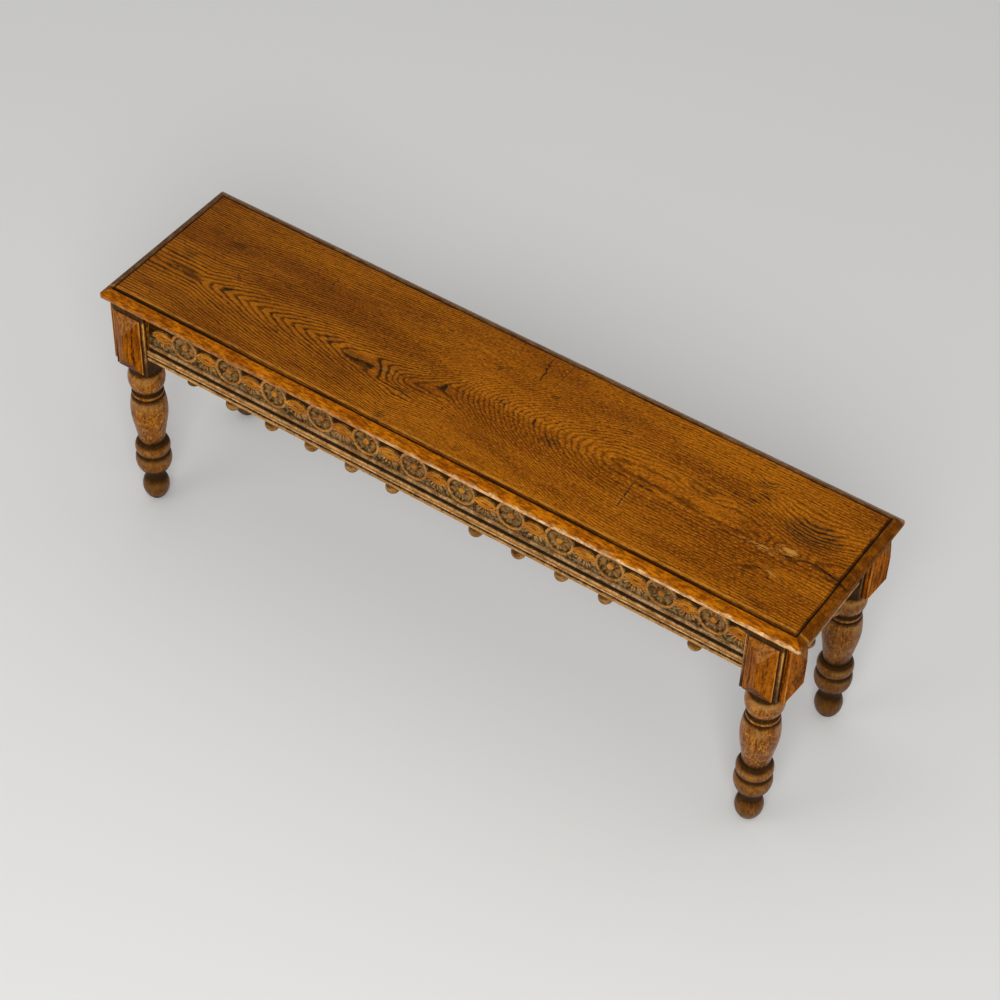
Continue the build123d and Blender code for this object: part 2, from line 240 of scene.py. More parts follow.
sky = bpy.data.worlds.new("studio")
bpy.context.scene.world = sky
sky.use_nodes = True
sky.node_tree.nodes["Background"].inputs["Color"].default_value = floorLook["sky"]
sky.node_tree.nodes["Background"].inputs["Strength"].default_value = light["skyGrey"]
print("floor and sky set")


# Helpers for modelling

sides = (("left", -1), ("right", 1))
weldGap = 0.00002


def pick(piece, *others):
    bpy.ops.object.select_all(action="DESELECT")
    for one in (piece,) + others:
        one.select_set(True)
    bpy.context.view_layer.objects.active = piece


def editing(on):
    bpy.ops.object.mode_set(mode="EDIT" if on else "OBJECT")


def selectAll(wanted=True):
    bpy.ops.mesh.select_all(action="SELECT" if wanted else "DESELECT")


def openMesh(piece, kind="VERT"):  # edit mode with nothing selected
    pick(piece)
    editing(True)
    bpy.ops.mesh.select_mode(type=kind)
    selectAll(False)


def mark(piece, wanted, kind="vertices"):  # selects what passes a test
    editing(False)
    for part in getattr(piece.data, kind):
        part.select = wanted(part)
    editing(True)


def closeMesh(angle=40):
    selectAll()
    bpy.ops.mesh.remove_doubles(threshold=weldGap)
    bpy.ops.mesh.normals_make_consistent(inside=False)
    editing(False)
    bpy.ops.object.shade_smooth_by_angle(angle=radians(angle))


def cutAt(place, way, **options):  # a straight cut through an open mesh
    selectAll()
    bpy.ops.mesh.bisect(plane_co=place, plane_no=way, **options)


def settle(piece):  # its place, turn and size go into its mesh
    pick(piece)
    bpy.ops.object.transform_apply(location=True, rotation=True, scale=True)
    return piece


def addBlock(name, low, high, edge=0.0, segments=2):
    bpy.ops.mesh.primitive_cube_add(size=1, location=[(a + b) / 2 for a, b in zip(low, high)])
    block = bpy.context.object
    block.name = name
    block.scale = [b - a for a, b in zip(low, high)]
    settle(block)
    if edge:
        openMesh(block, "EDGE")
        selectAll()
        bpy.ops.mesh.bevel(offset=edge, segments=segments, affect="EDGES")
        closeMesh()
    return block


def addDisc(radius, depth, corners, place):  # a cylinder that faces the front
    bpy.ops.mesh.primitive_cylinder_add(vertices=corners, radius=radius, depth=depth, location=place,
                                        rotation=(radians(90), 0, 0))
    return settle(bpy.context.object)


def arc(start, middle, end, steps):  # points of the circle through three points, after the first
    (ax, ay), (bx, by), (cx, cy) = start, middle, end
    d = 2 * (ax * (by - cy) + bx * (cy - ay) + cx * (ay - by))
    a, b, c = ax * ax + ay * ay, bx * bx + by * by, cx * cx + cy * cy
    x = (a * (by - cy) + b * (cy - ay) + c * (ay - by)) / d
    y = (a * (cx - bx) + b * (ax - cx) + c * (bx - ax)) / d
    first, second, third = (atan2(py - y, px - x) for px, py in (start, middle, end))
    sweep = (third - first) % tau
    if (second - first) % tau > sweep:
        sweep -= tau
    radius = hypot(ax - x, ay - y)
    angles = [first + sweep * i / steps for i in range(1, steps + 1)]
    return [(x + radius * cos(angle), y + radius * sin(angle)) for angle in angles]


def chainOf(name, points):  # a line through points, left open in edit mode
    bpy.ops.mesh.primitive_plane_add(size=0.001, location=(0, 0, 0))
    piece = bpy.context.object
    piece.name = name
    openMesh(piece)
    selectAll()
    bpy.ops.mesh.merge(type="CENTER")
    selectAll()
    bpy.ops.transform.translate(value=points[0])
    for here, there in zip(points, points[1:]):
        step = [b - a for a, b in zip(here, there)]
        bpy.ops.mesh.extrude_vertices_move(TRANSFORM_OT_translate={"value": step})
    selectAll()
    return piece


def turnPiece(name, profile, corners):  # a chain of points, as radius and height, spun about Z
    piece = chainOf(name, [(radius, 0, height) for radius, height in profile])
    bpy.ops.mesh.spin(steps=corners, angle=tau, center=(0, 0, 0), axis=(0, 0, 1))
    closeMesh()
    return piece


def runPiece(name, section, span, steps):  # a closed section, as distance to -Y and height, drawn along X
    piece = chainOf(name, [(-span / 2, -out, height) for out, height in section + section[:1]])
    bpy.ops.mesh.remove_doubles(threshold=weldGap)
    for step in range(steps):
        bpy.ops.mesh.extrude_edges_move(TRANSFORM_OT_translate={"value": (span / steps, 0, 0)})
    selectAll()
    bpy.ops.mesh.fill_holes(sides=0)
    closeMesh(30)
    return piece


def copyOf(piece, name, place=(0, 0, 0), turn=(0, 0, 0), size=(1, 1, 1)):
    pick(piece)
    bpy.ops.object.duplicate()
    twin = bpy.context.object
    twin.name = name
    twin.location = place
    twin.rotation_euler = turn
    twin.scale = size
    return settle(twin)


def joinAll(name, pieces):
    pick(*pieces)
    if len(pieces) > 1:
        bpy.ops.object.join()
    joined = bpy.context.object
    joined.name = name
    return joined


def remove(*pieces):
    for piece in pieces:
        bpy.data.objects.remove(piece)


def carve(piece, cutter, kind="DIFFERENCE"):
    pick(piece)
    cut = piece.modifiers.new("cut", "BOOLEAN")
    cut.operation = kind
    cut.solver = "EXACT"
    cut.object = cutter
    bpy.ops.object.modifier_apply(modifier="cut")
    remove(cutter)
    return piece


def paint(piece, layerName, amount):  # a value at each point, for the material
    layer = piece.data.attributes.get(layerName) or piece.data.attributes.new(layerName, "FLOAT", "POINT")
    for point, value in zip(piece.data.vertices, layer.data):
        value.value = min(1, max(0, amount(point.co)))


def between(value, table, scale=1000):  # straight lines between places in mm
    value *= scale
    for (x0, y0), (x1, y1) in zip(table, table[1:]):
        if value <= x1:
            return y0 + (y1 - y0) * max(0, value - x0) / (x1 - x0)
    return table[-1][1]


def stray(amount):
    return random.uniform(-amount, amount)


def finishPiece(piece, material, slot, *replaced):
    piece.data.materials.clear()
    piece.data.materials.append(material)
    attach(piece, "root")
    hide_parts(*replaced)


def dressNode(name, material, edge):  # a CAD node keeps its shape, with its arrises eased
    piece = nodes[name]
    piece.data.materials.clear()
    piece.data.materials.append(material)
    weld = piece.modifiers.new("weld", "WELD")
    weld.merge_threshold = weldGap / 2
    ease = piece.modifiers.new("ease", "BEVEL")
    ease.width = edge
    ease.segments = 2
    ease.limit_method = "ANGLE"
    ease.angle_limit = radians(25)


# Seat, kept from the CAD

seatLook = dict(
    waveScale=(5, 26, 26), wave=0.005, jagScale=(60, 150, 150), jag=(0.0014, 0.0024), ringWidth=0.0021,
    fibreScale=(26, 420, 420), poreScale=(60, 560, 560), patchScale=(3, 13, 13), latePores=0.4,
    light=(174, 99, 6), warm=(134, 69, 2), deep=(30, 12, 1), pore=(34, 13, 1), ringDepth=(1, 0.6),
    poreDepth=0.5, fibreDepth=0.3, faintYear=0.75, faintFibre=0.7, bump=0.5, gloss=0.06,
    amber=(1, 0.62, 0.25, 1), middle=0.0075, top=0.437, field=(0.594, 0.1335), edge=0.0004, soft=0.0004,
    # the pith lies deep on the left and nears the top, slowly and then quickly
    pithDepth=0.118, slowRise=(-0.5, -0.12, 0.036), quickRise=(-0.045, 0.21, 0.042), wider=(-0.16, 0.3, 0.5),
    axis=(-0.0375, 0.0025), axisMove=(-0.13, 0), point=(1.5, 2), reach=0.1,
    # noises: the scale along, across and down, the detail and the roughness
    cloud=((6, 18, 18), 4, 0.6), mottle=((170, 460, 460), 3, 0.7), specks=((130, 260, 260), 2, 0.5),
    torn=((90, 130, 130), 4, 0.7), tornReach=(0.05, 0.03, 0), tint=((50, 80, 80), 4, 0.65),
    streaks=(((70, 320, 320), 4, 0.7), ((320, 60, 320), 4, 0.7)), crackGaps=((150, 150, 150), 2, 0.5),
    crackScale=(90, 90, 90), driftScale=(45, 45, 45), drift=0.004, chipScale=(70, 200, 200), chip=0.012,
    arrisScale=(14, 14, 14), arris=0.5,
    # tones that lie over the grain
    brown=(84, 52, 20), bright=(204, 126, 28), speck=(58, 20, 1), mark=(40, 25, 10), paleMark=(188, 132, 58),
    streak=(66, 30, 2), backRubAndSheen=(150, 124, 100), frontHighlight=(202, 138, 52), dirt=(26, 12, 4),
    rubbedAndHighlight=((232, 190, 138), (190, 140, 88)), chipped=(90, 52, 22), under=(46, 26, 12), crack=(24, 12, 6),
    # moulded border: its two tones on each side, and which streaks it has
    front=((188, 108, 6), (150, 76, 2), 0), back=((122, 92, 62), (84, 58, 36), 0),
    right=((130, 72, 4), (84, 40, 2), 1), left=((112, 84, 54), (78, 52, 28), 1), borderDepth=0.85,
    streakDepth=0.7,
    # in mm from the field's border: the groove's far side, the painted shade and dirt beside it, the painted
    # highlight line at the front and the rubbed line with painted sheen at the back
    grooveEnd=(1.9, 2.3), besideY=(-2.6, -1.2), besideX=(-2.4, -1), besideEnd=(0.8, 2.2),
    widerFront=(3, 4.4), widerRight=(-4.2, -2.8), frontLine=(4, 5.6, 7, 10), backLine=(6, 11),
    # in mm from the top: the groove's floor, the nosing's rubbed arris with its painted highlight, and the
    # painted shadow under it
    grooveFloor=(-0.6, -0.2), arrisHeights=(-17.2, -15, -10.5, -7), underHeights=(-17.8, -16.8),
    arrisFront=(-0.146, -0.145), arrisRight=(-0.25, 0.1, 0.2, 1),
    # in mm from the middle of the top: x, y, reach along and across, and a push or a strength
    knots=[
        (-171, -40, 60, 22, 5), (-115, -61, 45, 16, 3), (350, 22.5, 60, 16, 4), (419, 89, 34, 20, 4),
        (519, 42.5, 110, 60, 10), (508, -5, 50, 16, 6), (490, -55, 60, 16, 5), (36, 100, 14, 30, 3),
        (-285, 78, 45, 18, 2)],
    marks=[
        (-501, 55, 26, 14, 0.55), (-549, -5, 24, 14, 0.5), (-557, -40, 18, 12, 0.6), (-454, -4, 12, 8, 0.6),
        (-452.7, -34, 16, 11, 0.75), (-285, 77.5, 26, 14, 0.35), (-381.5, 27.5, 14, 10, 0.5),
        (-262, -32, 24, 12, 0.6), (-283.5, -57.5, 16, 9, 0.5), (-212, -39.5, 30, 13, 0.8),
        (-345, -66.5, 22, 9, 0.55), (-570, 98.5, 24, 12, 0.3), (-171, -39.5, 42, 12, 0.9),
        (-115, -61, 22, 8, 0.95), (-65, -14.8, 12, 12, 1), (-77, -34, 11, 8, 0.85),
        (-109.6, -122.5, 12, 15, 1), (19, -109, 8, 17, 0.6), (81, -1.5, 11, 17, 0.55),
        (19, 8.3, 20, 17, 0.5), (123, -20.5, 36, 20, 0.45), (202, 60, 11, 10, 0.6), (169, 33.5, 13, 9, 0.6),
        (79, 60, 13, 10, 0.5), (-23, 62, 11, 8, 0.6), (-123, 91, 11, 8, 0.6), (419, 89, 17, 12, 1),
        (433, 69.5, 20, 12, 0.7), (392, 48.5, 16, 10, 0.6), (417, 50.5, 13, 9, 0.7),
        (519, 42.5, 85, 50, 0.6), (529, 32.5, 30, 22, 0.6), (279, -12.5, 30, 18, 0.45),
        (580, -15, 17, 7, 0.9), (475, -74.5, 13, 8, 0.6), (515, -112.5, 34, 10, 0.5),
        (381, -122.5, 24, 10, 0.45), (488, -55.5, 22, 7, 0.8), (350, 22.5, 34, 12, 0.45)],
    pale=[
        (508, -4, 24, 9, 0.9), (475, -19.5, 55, 4, 0.7), (510, -55.5, 24, 6, 0.6), (268, -55, 5, 22, 0.4),
        (-150, -37, 30, 5, 0.35)],
    # thin dark cracks in mm: from, to, half the width, how far they wander
    cracks=[
        (404, -26.5, 504, -16.5, 0.6, 4), (504, -16.5, 555, -4.5, 1.2, 3), (548, -4.5, 611, -18.5, 1.5, 3),
        (264, -20.5, 268, -74.5, 0.8, 5), (563.5, 87, 588, 104.5, 0.5, 3), (-333.5, 87, -326, 44.8, 0.6, 6),
        (-358.5, 132.5, -297, 141, 0.9, 4), (31, 123.5, 41.5, 75.5, 1.4, 8),
        (65.4, 131.5, 65.4, 75.5, 0.3, 2), (-463, 5, -452, -10, 0.5, 3)]
)


def crackLine(x, y, point, crack, look):  # 1 on the line and 0 a little beside it
    x0, y0, x1, y1, half, wander = metres(crack)
    long = hypot(x1 - x0, y1 - y0)
    alongX, alongY = (x1 - x0) / long, (y1 - y0) / long
    fromX, fromY = minus(x, x0), minus(y, y0)
    along = plus(times(fromX, alongX), times(fromY, alongY))
    aside = minus(times(fromY, alongX), times(fromX, alongY))
    aside = unsigned(waved(aside, point, look["crackScale"], wander * 2.2))
    gaps = fade(noise(point, *look["crackGaps"]), 0.4, 0.55, 0.6, 1)
    line = times(fade(aside, half * 0.5, half * 1.8, 1, 0), gaps)
    return times(line, band(along, -0.001, 0.003, long - 0.004, long))


def seatRings(look, point, x, y, z):  # how far each point is from the pith
    deep = minus(look["pithDepth"], z)
    for rise in ("slowRise", "quickRise"):
        start, stop, amount = look[rise]
        deep = minus(deep, fade(x, start, stop, 0, amount, "LINEAR"))
    fromAxis = minus(y, fade(x, *look["axisMove"], *look["axis"]))
    aside = calc("DIVIDE", unsigned(fromAxis), look["reach"])
    aside = calc("POWER", aside, fade(x, *look["axisMove"], *look["point"]))  # pointed rings, then round
    aside = times(aside, look["reach"] ** 2)
    distance = calc("SQRT", plus(aside, calc("POWER", deep, 2)))
    start, stop, share = look["wider"]  # the years are wider to the right
    distance = times(distance, fade(x, start, stop, 1, share))
    for *spot, push in look["knots"]:
        distance = plus(distance, times(hill(point, *spot), push / 1000))
    return distance


def seatMaterial(look):
    material = newMaterial("seatOak")
    point = objectPoint((0, -look["middle"], -look["top"]))
    x, y, z = splitPoint(point)
    uneven = {key: fade(x, *look["axisMove"], *look[key]) for key in ("ringDepth", "jag")}
    grain = oakGrain(point, dict(look, **uneven), seatRings(look, point, x, y, z))
    early = grain["early"]
    cloud = noise(point, *look["cloud"])
    mottle = noise(point, *look["mottle"])
    colour = mixed(fade(x, -0.6, 0.1, 0.18, 0), grain["colour"], look["brown"])  # browner to the left
    bright = times(fade(mottle, 0.5, 0.64), fade(x, -0.6, 0.2, 0.15, 0.5), fade(early, 0, 0.8, 1, 0.2))
    colour = mixed(bright, colour, look["bright"])
    dull = times(fade(mottle, 0.36, 0.48, 1, 0), fade(x, -0.6, 0.2, 0.3, 0.5))
    colour = mixed(dull, colour, look["deep"])
    colour = mixed(fade(noise(point, *look["specks"]), 0.64, 0.7, 0, 0.7), colour, look["speck"])

    # Marks, with torn borders
    torn = vector("SUBTRACT", noise(point, *look["torn"], 1), (0.5, 0.5, 0.5))
    torn = vector("ADD", point, vector("MULTIPLY", torn, look["tornReach"]))
    dark = highest(*[times(hill(torn, *spot), amount) for *spot, amount in look["marks"]])
    dark = times(fade(dark, 0.08, 0.55), fade(early, 0, 0.6, 0.35, 1))
    colour = mixed(dark, colour, look["mark"])
    for *spot, amount in look["pale"]:
        pale = times(hill(torn, *spot), fade(early, 0.1, 0.7, 1, 0.3), amount)
        colour = mixed(pale, colour, look["paleMark"])

    # Moulded border round the field
    ahead, aside = unsigned(x), unsigned(y)
    halfX, halfY = look["field"]
    soft = look["soft"]
    tint = fade(noise(point, *look["tint"]), 0.38, 0.62)
    streaks = [fade(noise(point, *streak), 0.45, 0.57) for streak in look["streaks"]]
    atEnds = minus(minus(ahead, halfX), minus(aside, halfY))
    atEnds = times(fade(atEnds, -soft, soft), fade(ahead, halfX, halfX + soft))
    borders = {"front": fade(y, -halfY - soft, -halfY, 1, 0), "back": fade(y, halfY, halfY + soft),
               "right": times(atEnds, fade(x, 0, 0.1)), "left": times(atEnds, fade(x, -0.1, 0, 1, 0))}
    for name, where in borders.items():
        pale, dark, way = look[name]
        worn = mixed(times(streaks[way], look["streakDepth"]), mixed(tint, pale, dark), look["streak"])
        colour = mixed(times(where, look["borderDepth"]), colour, worn)
    # a rubbed line along the back, painted pale as a sheen as well
    rubAndHighlight = times(fade(y, *off(halfY, look["backLine"])), fade(tint, 0, 1, 0.3, 0.85))
    colour = mixed(rubAndHighlight, colour, look["backRubAndSheen"])

    # Painted shade and dirt in and along the scratched groove, with a painted highlight line before it at the
    # front
    # a painted highlight line along the front, beside the groove
    rubAndHighlight = times(band(y, *off(-halfY, look["frontLine"])), fade(tint, 0, 1, 0.2, 0.5))
    colour = mixed(rubAndHighlight, colour, look["frontHighlight"])

    def inside(limits):  # 1 within a frame round the field
        return times(fade(aside, *off(halfY, limits), 1, 0), fade(ahead, *off(halfX, limits), 1, 0))

    # painted shade and dirt in the groove and in a band beside it
    inGroove = times(inside(look["grooveEnd"]), fade(z, *metres(look["grooveFloor"]), 1, 0), 0.95)
    beside = highest(fade(aside, *off(halfY, look["besideY"])), fade(ahead, *off(halfX, look["besideX"])))
    shift, drift = (waved(value, point, look["driftScale"], look["drift"]) for value in (x, y))
    wider = highest(fade(drift, *off(-halfY, look["widerFront"]), 0.85, 0),
                    fade(shift, *off(halfX, look["widerRight"]), 0, 0.85))
    beside = times(highest(beside, wider), inside(look["besideEnd"]), fade(cloud, 0.38, 0.6, 0.5, 0.95))
    colour = mixed(highest(inGroove, beside), colour, look["dirt"])

    # The nosing's lower arris is rubbed down to pale wood, mostly on the right, and painted as a highlight as
    # well
    arris = times(band(waved(z, point, look["chipScale"], look["chip"]), *metres(look["arrisHeights"])),
                  fade(y, *look["arrisFront"], 1, 0),
                  fade(waved(x, point, look["arrisScale"], look["arris"]), *look["arrisRight"]), 0.95)
    rubbedAndHighlight = mixed(fade(mottle, 0.4, 0.52, 0.5, 0), mixed(tint, *look["rubbedAndHighlight"]), look["chipped"])
    colour = mixed(arris, colour, rubbedAndHighlight)
    # painted shadow under the nosing
    colour = mixed(fade(z, *metres(look["underHeights"]), 1, 0), colour, look["under"])

    split = highest(*[crackLine(x, y, point, crack, look) for crack in look["cracks"]])
    colour = mixed(times(split, 0.92), colour, look["crack"])
    height = minus(grain["height"], times(split, 3))
    rough = plus(fade(cloud, 0.3, 0.7, 0.42, 0.58), times(grain["pores"], 0.25))
    return woodShader(material, colour, height, rough, look)


dressNode("seat_top", seatMaterial(seatLook), seatLook["edge"])
print("seat dressed")


# Legs: turned posts with square heads

leg = dict(
    x=0.557, y=0.11825, middle=0.0075, side=0.0595, headBottom=0.3, top=0.419, edge=0.0009, corners=72,
    start=(0.01, 0),
    # outline in mm: a point, or the middle and the end of a curve and its steps
    cuts=[
        (21.4, 22.1, 15.3, 47, 16), (16.3, 56.7, 19.3, 65.5, 8), (22.2, 66), (29.2, 88.2, 25.6, 102.8, 16),
        (25.1, 103.6), (25.5, 104.5), (28.2, 112.7, 23.6, 126.8, 12), (23.4, 127.6), (23.3, 129.7),
        (20.9, 130.3), (23.7, 150.1, 27.1, 170.1, 10), (29.6, 200, 25.9, 229.4, 16), (24, 230.1),
        (25.6, 234.5, 23.9, 238.8, 8), (22.7, 239.2), (22.6, 243.7), (23.8, 244.2),
        (29.6, 264.5, 24.6, 284.6, 18), (24, 285.2), (24, 288.2), (24.4, 288.8), (24.4, 300)],
    # heights in mm, and how much painted shade and dirt, and painted highlight with rubbed wax, it has there
    dirt=[
        (0, 0.9), (10, 0.55), (24, 0.35), (40, 0.6), (50, 1), (62, 0.95), (68, 1), (76, 0.45), (88, 0.25),
        (99, 0.6), (102, 1), (105.5, 1), (109, 0.35), (115, 0.2), (123, 0.55), (126.5, 1), (131.5, 1),
        (138, 0.55), (150, 0.2), (190, 0), (220, 0.1), (227.5, 0.8), (230.5, 1), (233.5, 0.25),
        (235.5, 0.25), (238, 1), (245, 1), (250, 0.45), (258, 0.05), (272, 0), (281, 0.45), (284, 1),
        (288, 1), (292, 0.5), (299.5, 1)],
    rubAndHighlight=[
        (0, 0), (26, 0.1), (34, 0.6), (42, 0), (88, 0), (96, 0.8), (101.5, 0), (113.5, 0.1), (119, 0.9),
        (125, 0), (200, 0), (221, 0.9), (228.5, 0), (232.5, 0), (236.5, 0.8), (238.5, 0), (264, 0.1),
        (277, 1), (284, 0)]
)

legLook = dict(
    pithDepth=0, waveScale=(12, 45, 45), wave=0.009, jagScale=(60, 160, 160), jag=0.004, ringWidth=0.0045,
    fibreScale=(60, 420, 420), poreScale=(100, 540, 540), patchScale=(22, 60, 60), latePores=0.35,
    light=(147, 83, 6), warm=(118, 62, 3), deep=(48, 21, 2), pore=(24, 10, 2), ringDepth=0.6, poreDepth=0.7,
    fibreDepth=0.35, faintYear=0.3, faintFibre=0.4, bump=0.3, gloss=0.22, amber=(1, 0.52, 0.16, 1),
    pith=(0.021, -0.012), cloud=((48, 48, 34), 4, 0.65), curls=((105, 105, 70), 2, 0.5), curl=(194, 130, 36),
    back=(62, 36, 14), rubbedAndHighlight=(156, 114, 64), dirt=(24, 12, 4), corner=(202, 150, 84),
    # darker from a height down to another: by how much and to which tone
    lower=((0.17, 0.11, 0.5, (92, 56, 20)), (0.075, 0.045, 0.35, (56, 32, 12))),
    # on the head, in mm: over its bottom, under its top, from its side, and from its middle
    headStart=(0.5, 1), headFoot=(2, 6), underSeat=(-13, -6), face=(-0.8, -0.2),
    gap=(22.5, 23.5, 25.8, 26.8), cornerFrom=(27.9, 28.8)
)


def legPoint(look, part):  # where a point is, how far from the middle of its leg, and the grain
    place = objectPoint((0, -part["middle"], 0))
    x, y, z = splitPoint(place)
    fromX, fromY = minus(unsigned(x), part["x"]), minus(unsigned(y), part["y"])
    pithX, pithY = look["pith"]
    grain = oakGrain(node("CombineXYZ", {0: z, 1: minus(fromX, pithX), 2: minus(fromY, pithY)}), look)
    return place, y, z, fromX, fromY, grain


def legMaterial(look, part):
    material = newMaterial("legOak")
    place, y, z, fromX, fromY, grain = legPoint(look, part)
    cloud = noise(place, *look["cloud"])
    curl = band(noise(place, *look["curls"]), 0.46, 0.49, 0.50, 0.53)
    colour = mixed(times(curl, 0.65), grain["colour"], look["curl"])
    for top, bottom, amount, shade in look["lower"]:
        colour = mixed(fade(z, bottom, top, amount, 0), colour, shade)
    # the back legs painted darker: painted shade
    colour = mixed(fade(y, -0.05, 0.08, 0, 0.4), colour, look["back"])
    # painted highlight, partly rubbed wax, on the shoulders of the turning
    colour = mixed(times(painted("rubAndHighlight"), fade(cloud, 0.4, 0.6, 0.05, 0.75)), colour, look["rubbedAndHighlight"])
    # painted shade and dirt in the grooves and quirks of the turning
    dirt = fade(ragged(painted("hollow"), cloud, 1.0), 0.25, 0.9)

    # Square head: rubbed corners, and painted shade beside the faceted blocks, near its foot and under the
    # seat
    wide = highest(unsigned(fromX), unsigned(fromY))
    narrow = calc("MINIMUM", unsigned(fromX), unsigned(fromY))
    bottom, top, half = part["headBottom"], part["top"], part["side"] / 2
    onHead = fade(z, *off(bottom, look["headStart"]))
    onFace = times(onHead, fade(wide, *off(half, look["face"])))
    underSeat = fade(z, *off(top, look["underSeat"]))
    foot = fade(z, *off(bottom, look["headFoot"]), 0.6, 0)
    headShade = times(onFace, highest(band(narrow, *metres(look["gap"])), underSeat, foot))
    corner = times(onHead, fade(narrow, *metres(look["cornerFrom"])), fade(cloud, 0.35, 0.6, 0.35, 0.85))
    colour = mixed(corner, colour, look["corner"])
    colour = mixed(times(highest(dirt, headShade), 0.9), colour, look["dirt"])
    rough = plus(fade(cloud, 0.3, 0.7, 0.26, 0.4), times(dirt, 0.35))
    return woodShader(material, colour, grain["height"], rough, look)


profile = [(0, leg["start"][1]), leg["start"]]
for cut in leg["cuts"]:
    x, z, *end = metres(cut[:4])
    profile += arc(profile[-1], (x, z), end, cut[4]) if end else [(x, z)]
profile.append((0, profile[-1][1]))
turning = turnPiece("legTurning", profile, leg["corners"])
# painted shade and dirt in the grooves, painted highlight on the shoulders
paint(turning, "hollow", lambda co: between(co.z, leg["dirt"]))
paint(turning, "rubAndHighlight", lambda co: between(co.z, leg["rubAndHighlight"]))
half = leg["side"] / 2
head = addBlock("legHead", (-half, -half, leg["headBottom"]), (half, half, leg["top"]), leg["edge"], 3)
# painted shade along the head's lower edge
paint(head, "hollow", lambda co: 0.1 if co.z > leg["headBottom"] + 0.002 else 0.9)
paint(head, "rubAndHighlight", lambda co: 0)
post = joinAll("legPost", [turning, head])
legOak = legMaterial(legLook, leg)
for row, sideY in (("front", -1), ("back", 1)):
    for word, side in sides:
        twin = copyOf(post, "leg" + row.title() + word.title(),
                      (side * leg["x"], sideY * leg["y"] + leg["middle"], 0))
        finishPiece(twin, legOak, "leg_oak", "leg_" + row + "_" + word)
remove(post)
print("legs turned")


# Carved rails: rings joined by pointed links, over fans of gouged leaves

carving = dict(
    ringCentre=0.39, top=0.029, bottom=-0.038, marginTop=-0.027, quirkTop=-0.036, split=0.001,
    thickness=0.02, upperDepth=0.0045, lowerDepth=0.003, shadowTop=-0.0328, shadowSoft=0.001, slices=48,
    ringCorners=72, holeRadius=0.0246, holeCorners=48, holeDepth=0.02, petals=9,
    # outline of a ring and its painted shade and dirt, in mm: the radius, and the height or how much painted
    # shade and dirt it has
    ring=[
        (0, -12.2), (24.8, -12.2), (25, -1.4), (24.6, -0.6), (23.9, -0.1), (21.3, 0), (20.5, -0.4),
        (20, -1.4), (19.5, -3), (18.4, -4.4), (16, -5.6), (13.2, -6.1), (10.4, -6), (8, -5.6), (6.6, -5.5),
        (5.7, -5), (5.6, -3.2), (5.2, -1.6), (4.2, -0.7), (2.8, -0.3), (1.2, -0.6), (0, -0.9)],
    ringDirt=[
        (0, 0.1), (4.5, 0.15), (5.6, 0.6), (6.2, 1), (7.8, 0.9), (9.5, 0.7), (16, 0.7), (18, 1),
        (19.8, 1.05), (20.6, 0.4), (21.4, 0.1), (23.9, 0.1), (24.7, 0.5), (25, 1)],
    # where the petals lie, and the ridges between them: half a width in spokes, and a lift
    dish=(0.0078, 0.0198), dishFloor=-0.01, ridges=((1.6, 0.001), (0.6, 0.0014)), linkLength=0.0395,
    linkHeight=0.021, linkDepth=0.008, linkCorners=160, linkEdge=0.0009, slitHalf=(0.0078, 0.0034),
    # steps into a link: how far each one shrinks along and up, and sinks
    linkSteps=[
        (0.85, 0.77, 0), (0.94, 0.88, 0.0016), (0.93, 0.86, -0.0012), (0.46, 0.38, -0.0002),
        (0.85, 0.6, 0.0026)],
    linkDirt=[(0, 0), (0.4, 0.1), (1.1, 0.8), (2, 0.85), (3, 1)], slitDepth=0.0014,
    leafSize=(0.0017, 0.0021, 0.0068), leafAngles=(-70, -52, -35, -17, 0, 17, 35, 52, 70), leafReach=0.0162,
    leafNeck=0.002, leafNarrow=(0.55, 0.7, 1), leafDirt=[(-1.9, 0.05), (-0.8, 0.25), (0, 1)],
    leafSink=0.0001, leafDrop=0.0015,
    # how far copies stray in place and turn
    ringStray=0.0012, stray=0.0006, sink=0.0003, linkLean=3, leafLean=6, frontSpan=1.0545, frontRings=12,
    frontMargins=(0.0709, 0.0563), endSpan=0.177, endRings=2, endMargins=(0.04425, 0.04425),
    frontFace=-0.1315, endFace=0.57775
)

carvedLook = dict(
    legLook, pithDepth=0.06, waveScale=(8, 30, 30), wave=0.006, jag=0.003, ringWidth=0.0042,
    fibreScale=(36, 330, 330), poreScale=(60, 460, 460), patchScale=(14, 45, 45), light=(204, 132, 34),
    warm=(166, 96, 16), deep=(86, 42, 4), pore=(40, 18, 3), ringDepth=0.5, poreDepth=0.6, fibreDepth=0.4,
    bump=0.6, gloss=0.12, amber=(1, 0.62, 0.25, 1), cloud=((60, 60, 60), 4, 0.65),
    fine=((330, 330, 330), 3, 0.7), dusty=((170, 170, 170), 3, 0.6), worn=((184, 146, 102), (120, 86, 48)),
    speck=(58, 32, 10), dirt=((32, 22, 10), (112, 98, 66)), deepest=(18, 8, 3)
)


